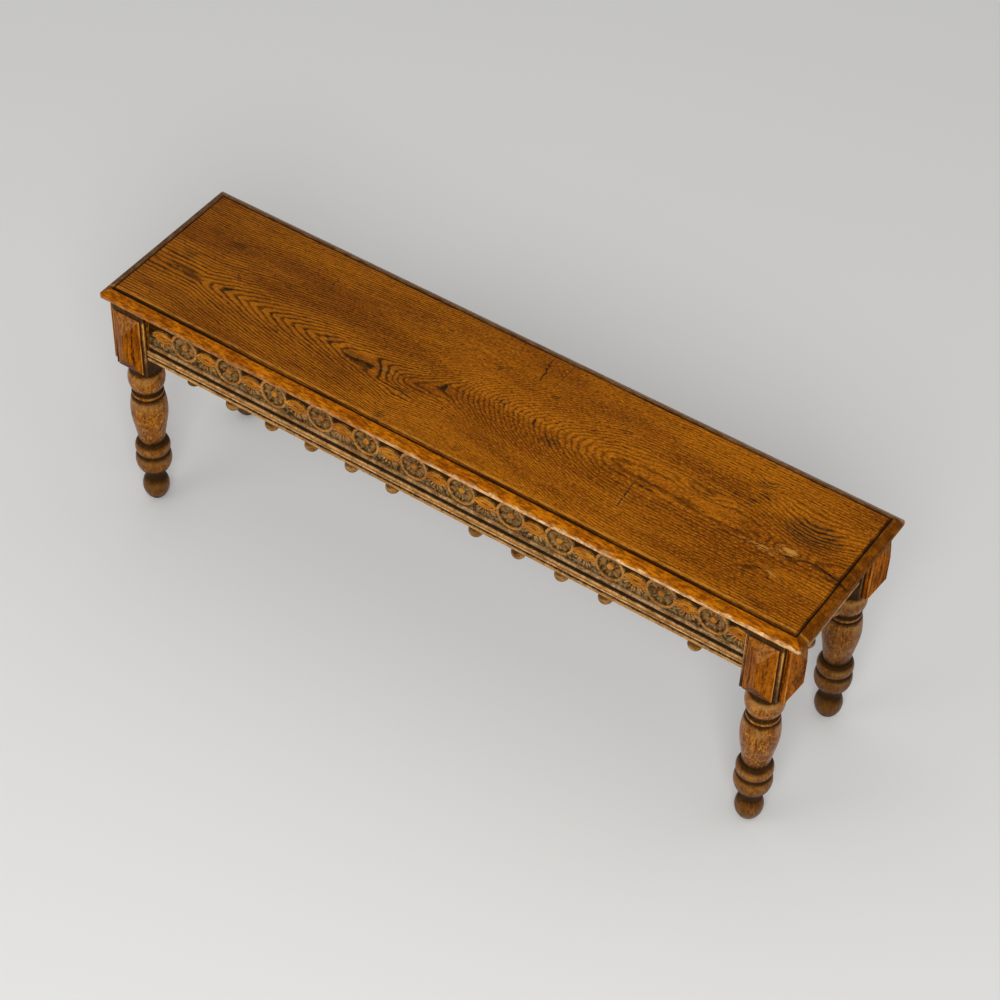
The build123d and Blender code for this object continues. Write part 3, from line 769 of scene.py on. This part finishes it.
def carvedMaterial(name, look, turn):
    material = newMaterial(name)
    grain = oakGrain(objectPoint(turn=turn), look)
    place = objectPoint()
    hollow, shade = painted("hollow"), painted("grey")
    cloud = noise(place, *look["cloud"])
    fine = noise(place, *look["fine"])
    # rubbed and greyed wood, on leaves, ridges and reeds, where the pale lines are painted highlights as well
    colour = mixed(shade, grain["colour"], mixed(fade(cloud, 0.36, 0.64), *look["worn"]))
    speck = times(fade(fine, 0.4, 0.54, 1, 0), fade(shade, 0, 1, 0.3, 0.55))
    colour = mixed(speck, colour, look["speck"])
    # painted shade with dust in the carving's hollows, near black in the deepest
    dirt = fade(ragged(ragged(hollow, cloud, 0.6), fine, 0.3), 0.3, 0.95)
    dark = mixed(fade(noise(place, *look["dusty"]), 0.42, 0.6), *look["dirt"])
    dark = mixed(fade(hollow, 0.88, 0.97), dark, look["deepest"])
    colour = mixed(times(dirt, 0.93), colour, dark)
    return woodShader(material, colour, plus(grain["height"], fine), fade(dirt, 0, 1, 0.5, 0.85), look)


def carvedRing(part):
    ring = turnPiece("ring", map(metres, part["ring"]), part["ringCorners"])
    petal = tau / part["petals"]
    spoke = tau / part["ringCorners"]
    start, stop = part["dish"]

    def onRidge(co, reach):
        aside = (atan2(co.y, co.x) + petal / 2) % petal - petal / 2
        inDish = start < hypot(co.x, co.y) < stop and co.z > part["dishFloor"]
        return inDish and abs(aside) < reach * spoke

    def shade(co):
        radius = hypot(co.x, co.y)
        if 0.0060 < radius < 0.0195 and co.z > -0.011:
            return 0.35
        return 0.45 if radius > 0.0232 else 0.15

    openMesh(ring)
    for reach, lift in part["ridges"]:
        mark(ring, lambda point: onRidge(point.co, reach))
        bpy.ops.transform.translate(value=(0, 0, lift))
    closeMesh(30)
    # painted shade and dirt in the dish and round the ring
    paint(ring, "hollow",
          lambda co: between(hypot(co.x, co.y), part["ringDirt"]) - 0.1 * (co.z > -0.0052))
    paint(ring, "grey", shade)
    ring.rotation_euler = (radians(90), 0, 0)
    return settle(ring)


def carvedLink(part):
    length, height, depth = part["linkLength"] / 2, part["linkHeight"] / 2, part["linkDepth"]
    radius = (length ** 2 + height ** 2) / (2 * height)
    lower, upper = (addDisc(radius, depth, part["linkCorners"], (0, depth / 2, side * (radius - height)))
                    for side in (-1, 1))
    link = carve(lower, upper, "INTERSECT")
    link.name = "link"
    openMesh(link, "EDGE")
    bpy.ops.mesh.edges_select_sharp(sharpness=radians(40))
    bpy.ops.mesh.bevel(offset=part["linkEdge"], segments=3, affect="EDGES")
    bpy.ops.mesh.select_mode(type="FACE")
    selectAll(False)
    # the flat front becomes a rim, a sunk middle and a slit
    mark(link, lambda face: face.normal.y < -0.99 and face.center.y < 0.0003, "polygons")
    for long, high, sink in part["linkSteps"]:
        bpy.ops.mesh.extrude_region_move(TRANSFORM_OT_translate={"value": (0, sink, 0)})
        bpy.ops.transform.resize(value=(long, 1, high))
    closeMesh()
    slitX, slitZ = part["slitHalf"]
    # painted shade and dirt in the link's sunk middle and slit
    paint(link, "hollow", lambda co: between(co.y, part["linkDirt"]) if co.y <= part["slitDepth"] or
          hypot(co.x / slitX, co.z / slitZ) >= 1 else 1)
    paint(link, "grey", lambda co: 0)
    return link


def carvedLeaf(part):
    bpy.ops.mesh.primitive_uv_sphere_add(segments=14, ring_count=9, radius=1)
    leaf = bpy.context.object
    leaf.name = "leaf"
    leaf.scale = part["leafSize"]
    settle(leaf)
    openMesh(leaf)
    mark(leaf, lambda point: point.co.z > part["leafNeck"])
    bpy.ops.transform.resize(value=part["leafNarrow"])  # narrower towards the link
    closeMesh(60)
    # painted shade and dirt at the back of each leaf
    paint(leaf, "hollow", lambda co: between(co.y, part["leafDirt"]))
    paint(leaf, "grey", lambda co: 0.5)
    return leaf


def strayPlace(x, along, part):  # a copy is never quite in its place
    return (x + stray(along), random.uniform(0, part["sink"]), stray(part["stray"]))


def carvedBoard(span, centres, part):  # with a round hole for each ring
    half, deep = span / 2, part["thickness"]
    board = addBlock("board", (-half, part["lowerDepth"], part["bottom"]), (half, deep, part["split"]))
    carve(board, addBlock("upper", (-half, part["upperDepth"], 0), (half, deep, part["top"])), "UNION")
    carve(board, addBlock("margin", (-half, 0, part["quirkTop"]), (half, deep, part["marginTop"])), "UNION")
    holes = [addDisc(part["holeRadius"], part["holeDepth"], part["holeCorners"], (x, 0, 0)) for x in centres]
    carve(board, joinAll("holes", holes))
    openMesh(board, "FACE")
    for i in range(1, part["slices"]):  # even slices for the paint
        cutAt((-half + i * span / part["slices"], 0, 0), (1, 0, 0))
    shadow, soft = part["shadowTop"], part["shadowSoft"]
    for height in (shadow, shadow - soft):
        cutAt((0, 0, height), (0, 0, 1))
    editing(False)
    bpy.ops.object.shade_smooth_by_angle(angle=radians(30))
    # painted shade in the grounds and the quirk, and a painted shadow along the margin's lower edge
    paint(board, "hollow", lambda co: (1 if co.z < shadow - soft / 2 else 0.08) if co.y < 0.002 else
          (1 if co.z > 0 or co.z < part["quirkTop"] + 0.0005 else 0.85))
    paint(board, "grey", lambda co: (0.85 + 0.3 * co.x if co.y < 0.002 else 0.3) if co.z < 0 else 0)
    return board


def carvedRail(name, span, margins, ringCount, part, seed):
    random.seed(seed)
    pitch = (span - sum(margins)) / (ringCount - 1)
    ring, link, leaf = carvedRing(part), carvedLink(part), carvedLeaf(part)
    centres = [margins[0] - span / 2 + i * pitch for i in range(ringCount)]
    carved = []
    for i in range(ringCount + 1):
        x = margins[0] - span / 2 + (i - 0.5) * pitch
        carved.append(copyOf(link, "linkCopy", strayPlace(x, part["stray"], part),
                             (0, radians(stray(part["linkLean"])), 0)))
        for angle in part["leafAngles"]:
            lean = radians(angle + stray(part["leafLean"]))
            reach = part["leafReach"] * random.uniform(0.92, 1.05)
            place = (x + reach * sin(lean), part["lowerDepth"] - part["leafSink"],
                     -part["leafDrop"] - reach * cos(lean))
            carved.append(copyOf(leaf, "leafCopy", place, (0, -lean, 0),
                                 (random.uniform(0.85, 1.15), 1, random.uniform(0.8, 1.1))))
    links = joinAll("links", carved)
    openMesh(links)
    for side in (-1, 1):  # the end links are cut by the legs
        cutAt((side * span / 2, 0, 0), (side, 0, 0), clear_outer=True, use_fill=True)
    editing(False)
    board = carvedBoard(span, centres, part)
    rings = [copyOf(ring, "ringCopy", strayPlace(x, part["ringStray"], part),
                    (0, random.uniform(0, tau), 0),
                    (random.uniform(0.98, 1.03), 1, random.uniform(0.98, 1.02))) for x in centres]
    remove(ring, link, leaf)
    return joinAll(name, [board, links] + rings)


def fitRound(name, wood, front, end, height, look):  # a piece on the front and a copy on each end
    front.location = (0, carving["frontFace"], height)
    finishPiece(settle(front), carvedMaterial(wood + "Oak", look, 0), wood + "_oak", name + "_front")
    endOak = carvedMaterial(wood + "EndOak", look, 90)
    for word, side in sides:
        twin = copyOf(end, name + word.title(), (side * carving["endFace"], leg["middle"], height),
                      (0, 0, side * radians(90)))
        finishPiece(twin, endOak, wood + "_oak", name + "_" + word)
    remove(end)


rails = [carvedRail("rail" + word.title(), *[carving[word + what] for what in ("Span", "Margins", "Rings")],
                    carving, seed) for word, seed in (("front", 4), ("end", 9))]
fitRound("rail", "carved", *rails, carving["ringCentre"], carvedLook)
print("rails carved")


# Reeded strips under the rails, worn and a little uneven, with painted highlights on the reeds and painted
# shade in the quirks

strip = dict(
    # in mm: out from the rail's face and height; then heights, and how much painted shade and dirt, and how
    # pale with painted highlights, it is there
    section=[
        (-18, 351.8), (1.6, 351.8), (3.2, 351.7), (4.2, 350.9), (4.7, 349.3), (4.9, 347.2), (4.5, 346.5),
        (2.8, 345.9), (4.5, 345.1), (5, 343.8), (4.7, 342.4), (3.6, 341.2), (2.2, 340.6), (2, 339.2),
        (2.4, 338.2), (4.2, 337.7), (4.9, 336.6), (5, 334.5), (4.4, 332.5), (3.4, 331.9), (-10, 331.9),
        (-18, 334.5)],
    dirt=[
        (331.9, 0.3), (334.5, 0.2), (336.6, 0.25), (338.2, 1), (340.6, 1), (342.4, 0.15), (345, 0.4),
        (345.9, 1), (346.8, 0.6), (347.6, 0.35), (349.3, 0.25), (351.8, 0.2)],
    pale=[
        (331.9, 0.2), (334.5, 0.5), (337.7, 0.4), (338.2, 0), (341.2, 0.2), (343.8, 1), (346, 0.1),
        (347.2, 0.1), (349.3, 0.3), (350.9, 0.8), (351.8, 0.6)],
    steps=(90, 16), uneven=0.0002, endKept=0.001, shadowFrom=0.351
)

stripLook = dict(
    # its worn tones also stand for painted highlights on the reeds
    carvedLook, light=(184, 120, 40), warm=(144, 88, 22), gloss=0.15, worn=((222, 176, 118), (164, 118, 68))
)


def reededStrip(name, span, steps, part):
    def dirt(co):
        # painted shadow under the rail
        if co.z > part["shadowFrom"] and co.y > -0.0036:  # under the rail
            return 1 if co.y > -0.0024 else 0.6
        return between(co.z, part["dirt"])

    piece = runPiece(name, [metres(point) for point in part["section"]], span, steps)
    openMesh(piece)
    mark(piece, lambda point: abs(point.co.x) < span / 2 - part["endKept"])
    bpy.ops.transform.vertex_random(offset=part["uneven"], seed=3)
    editing(False)
    paint(piece, "hollow", dirt)
    # pale lines on the reeds: painted highlights, partly wear
    paint(piece, "grey", lambda co: between(co.z, part["pale"]))
    return piece


strips = [reededStrip("strip" + word.title(), carving[word + "Span"], steps, strip)
          for word, steps in zip(("front", "end"), strip["steps"])]
fitRound("strip", "strip", *strips, 0, stripLook)
print("strips reeded")


# Faceted blocks, back rail and glue blocks, kept from the CAD

facetLook = dict(
    legLook, light=(168, 94, 6), warm=(136, 70, 3), deep=(62, 27, 2), gloss=0.04, ringDepth=1, bump=0.45,
    amber=(1, 0.5, 0.12, 1), pith=(-0.01, -0.03), cloud=((55, 55, 40), 4, 0.65),
    fine=((260, 260, 180), 3, 0.7), edge=0.0006, halfSide=0.02355, frontEdge=0.0025, endEdge=0.009,
    bottom=0.302, top=0.411, lowerHip=0.0335, upperHip=0.03, slopeSoft=(-0.02, 0.04),
    dust=((156, 104, 54), (98, 58, 24)), lowerSlope=(66, 36, 8), arris=(192, 126, 50), seamShade=(28, 13, 5),
    # in mm
    onFront=(-0.4, 0.2), arrisWidth=(-1.6, -0.6), seam=(0.6, 2)
)


def facetMaterial(look, part):
    material = newMaterial("facetOak")
    place, y, z, fromX, fromY, grain = legPoint(look, part)
    cloud = noise(place, *look["cloud"])
    fine = noise(place, *look["fine"])

    # how far out and aside from the head a point is, and on which slope
    face = part["y"] + part["side"] / 2
    onFront = fade(y, *off(-face, look["onFront"]), 1, 0)
    out = node("Mix", {0: onFront, 2: minus(unsigned(fromX), part["side"] / 2), 3: minus(times(y, -1), face)})
    side = node("Mix", {0: onFront, 2: unsigned(fromY), 3: unsigned(fromX)})
    edge = node("Mix", {0: onFront, 2: look["endEdge"], 3: look["frontEdge"]})
    bottom, top = look["bottom"], look["top"]
    sideSlope = fade(side, 0, look["halfSide"], 1, 0, "LINEAR")
    topSlope = fade(z, top - look["upperHip"], top, 1, 0, "LINEAR")
    footSlope = fade(z, bottom, bottom + look["lowerHip"], 0, 1, "LINEAR")
    onTop, onFoot = (fade(minus(sideSlope, slope), *look["slopeSoft"]) for slope in (topSlope, footSlope))

    colour = mixed(fade(fine, 0.38, 0.5, 0.35, 0), grain["colour"], look["deep"])
    dust = mixed(fade(fine, 0.4, 0.62), *look["dust"])
    colour = mixed(times(onTop, fade(cloud, 0.32, 0.6, 0.2, 0.8)), colour, dust)
    colour = mixed(times(onFoot, 0.5), colour, look["lowerSlope"])
    # worn arrises at the sides, and a dark line of painted shade where the block meets the head
    arris = times(fade(side, *off(look["halfSide"], look["arrisWidth"])),
                  fade(minus(out, edge), *metres(look["arrisWidth"])), fade(cloud, 0.38, 0.58, 0.2, 0.8))
    colour = mixed(arris, colour, look["arris"])
    colour = mixed(fade(out, *metres(look["seam"]), 0.9, 0), colour, look["seamShade"])
    return woodShader(material, colour, grain["height"], fade(cloud, 0.3, 0.7, 0.36, 0.52), look)


facetOak = facetMaterial(facetLook, leg)
for place in ("front", "end_front", "end_back"):
    for word, side in sides:
        dressNode("facet_" + place + "_" + word, facetOak, facetLook["edge"])

hiddenLook = dict(
    legLook, light=(128, 92, 58), warm=(104, 70, 42), deep=(78, 50, 30), pore=(40, 26, 18), gloss=0.1,
    bump=0.7, pithDepth=0.08, edge=0.0005, saw=((260, 30, 6), 2, 0.6), sawHeight=1.2,
    stain=((7, 20, 20), 4, 0.6), stained=(62, 42, 28)
)


def hiddenMaterial(look):
    material = newMaterial("hiddenOak")
    place = objectPoint()
    grain = oakGrain(place, look)
    stain = noise(place, *look["stain"])
    colour = mixed(fade(stain, 0.4, 0.68, 0, 0.6), grain["colour"], look["stained"])
    saw = noise(place, *look["saw"])  # upright marks left by the saw
    height = plus(grain["height"], times(saw, look["sawHeight"]))
    return woodShader(material, colour, height, fade(stain, 0.3, 0.7, 0.75, 0.9), look)


hiddenOak = hiddenMaterial(hiddenLook)
for name in ("rail_back", "glue_blocks_front", "glue_blocks_back", "glue_block_left", "glue_block_right"):
    dressNode(name, hiddenOak, hiddenLook["edge"])
print("blocks dressed")


# Drops under the strips

drop = dict(
    radius=0.0115, depth=0.0252, brokenDepth=0.01, neck=0.006, collar=(0.0085, 0.0026), corners=36,
    button=((0.0032, 0.0007), (0.0052, 0.0022)), top=0.3345, pitch=0.0743, count=13, lost=(6, 11),
    broken=(0,), line=0.0065, endCount=2, torn=(0.0016, 0.0004)
)

# lighter tones, standing in part for a painted highlight on the balls
dropLook = dict(
    legLook, light=(178, 128, 66), warm=(132, 86, 32), ringWidth=0.004, cloud=((90, 90, 90), 3, 0.6),
    dirt=(30, 20, 12)
)


def dropMaterial(look):
    material = newMaterial("dropOak")
    place = objectPoint()
    grain = oakGrain(place, look)
    cloud = noise(place, *look["cloud"])
    dirt = fade(ragged(painted("hollow"), cloud, 0.5), 0.3, 0.9)
    colour = mixed(times(dirt, 0.85), grain["colour"], look["dirt"])
    return woodShader(material, colour, grain["height"], fade(cloud, 0.3, 0.7, 0.36, 0.5), look)


def turnedDrop(name, depth, part):  # a ball with a small button, on a neck under a collar
    radius, neck = part["radius"], part["neck"]
    collarRadius, collarDepth = part["collar"]
    middle = radius - part["depth"]
    neckTop = middle + sqrt(radius ** 2 - neck ** 2)
    if depth == part["depth"]:  # whole: the button, then nearly all of the ball
        start, wide, steps = (radius * 0.52, middle - radius * 0.854), (radius, middle), 20
        chain = arc((0, -depth), *[(out, up - depth) for out, up in part["button"]], 5)
        chain = [(0, -depth)] + chain + [start]
    else:  # broken off in the ball's upper part
        halfway = (neckTop - depth) / 2
        start = (sqrt(radius ** 2 - (middle + depth) ** 2), -depth)
        wide, steps = (sqrt(radius ** 2 - (middle - halfway) ** 2), halfway), 8
        chain = [(0, -depth + 0.0012), (start[0] * 0.5, -depth), start]
    chain += arc(start, wide, (neck, neckTop), steps)
    chain += [(collarRadius * 0.94, -collarDepth), (collarRadius, -collarDepth + 0.0006), (collarRadius, 0),
              (0, 0)]
    made = turnPiece(name, chain, part["corners"])
    # painted shade and dirt in the button's groove, under the ball and at the neck
    dirt = [(-depth, 0.05), (-depth + 0.0019, 0.15), (-depth + 0.0026, 0.9), (-depth + 0.0042, 0.2),
            (middle, 0.25), (neckTop - 0.003, 0.8), (neckTop, 1), (0, 0.9)]
    paint(made, "hollow", lambda co: between(co.z, dirt, 1))
    return made


whole = turnedDrop("wholeDrop", drop["depth"], drop)
stub = turnedDrop("brokenDrop", drop["brokenDepth"], drop)
tornHeight, tornAmount = drop["torn"]
openMesh(stub)
mark(stub, lambda point: point.co.z < tornHeight - drop["brokenDepth"])
bpy.ops.transform.vertex_random(offset=tornAmount, seed=5)
editing(False)
# the broken stub is painted darker all over
paint(stub, "hollow", lambda co: 0.6)
made = []
for i in range(drop["count"]):
    if i not in drop["lost"]:
        x = (i - (drop["count"] - 1) / 2) * drop["pitch"]
        place = (x, carving["frontFace"] + drop["line"], drop["top"])
        made.append(copyOf(stub if i in drop["broken"] else whole, "dropCopy", place))
dropOak = dropMaterial(dropLook)
finishPiece(joinAll("dropsFront", made), dropOak, "drop_oak", "drops_front")
for word, side in sides:
    x = side * (carving["endFace"] - drop["line"])
    made = [copyOf(whole, "dropCopy", (x, (i - 0.5) * drop["pitch"] + leg["middle"], drop["top"]))
            for i in range(drop["endCount"])]
    finishPiece(joinAll("drops" + word.title(), made), dropOak, "drop_oak", "drops_" + word)
remove(whole, stub)
print("drops turned")


# Screws in the glue blocks

screw = dict(
    bottom=0.396, headRadius=0.0043, headHeight=0.0026, radius=0.0022, shankTop=0.426, top=0.43,
    slot=(0.0012, 0.001), overrun=0.01, corners=24, longPlaces=(-0.37962, 0, 0.37962),
    longLines=(-0.0995, 0.1145), endPlace=0.54575, rust=((500, 500, 500), 4, 0.65), steel=(128, 122, 114),
    rusted=(84, 52, 34), bump=0.4, bumpDepth=0.0003
)


def screwMaterial(look):
    material = newMaterial("screwSteel")
    rust = fade(noise(objectPoint(), *look["rust"]), 0.42, 0.62)
    normal = node("Bump", {"Height": rust, "Strength": look["bump"], "Distance": look["bumpDepth"]})
    colour = mixed(rust, look["steel"], look["rusted"])
    surface({"Base Color": colour, "Metallic": fade(rust, 0, 1, 1, 0.1), "Normal": normal,
             "Roughness": fade(rust, 0, 1, 0.4, 0.8)})
    return material


bottom, radius = screw["bottom"], screw["radius"]
profile = [(0, bottom), (screw["headRadius"], bottom), (radius, bottom + screw["headHeight"]),
           (radius, screw["shankTop"]), (0, screw["top"])]
shank = turnPiece("screwBlank", profile, screw["corners"])
width, deep = screw["slot"]
over = screw["overrun"]
carve(shank, addBlock("slot", (-over, -width / 2, bottom - over), (over, width / 2, bottom + deep)))
places = [(x, y) for y in screw["longLines"] for x in screw["longPlaces"]]
places += [(side * screw["endPlace"], leg["middle"]) for side in (-1, 1)]
random.seed(7)
made = [copyOf(shank, "screwCopy", (x, y, 0), (0, 0, random.uniform(0, pi))) for x, y in places]
remove(shank)
finishPiece(joinAll("seatScrews", made), screwMaterial(screw), "screw_steel", "seat_screws")
print("screws set")
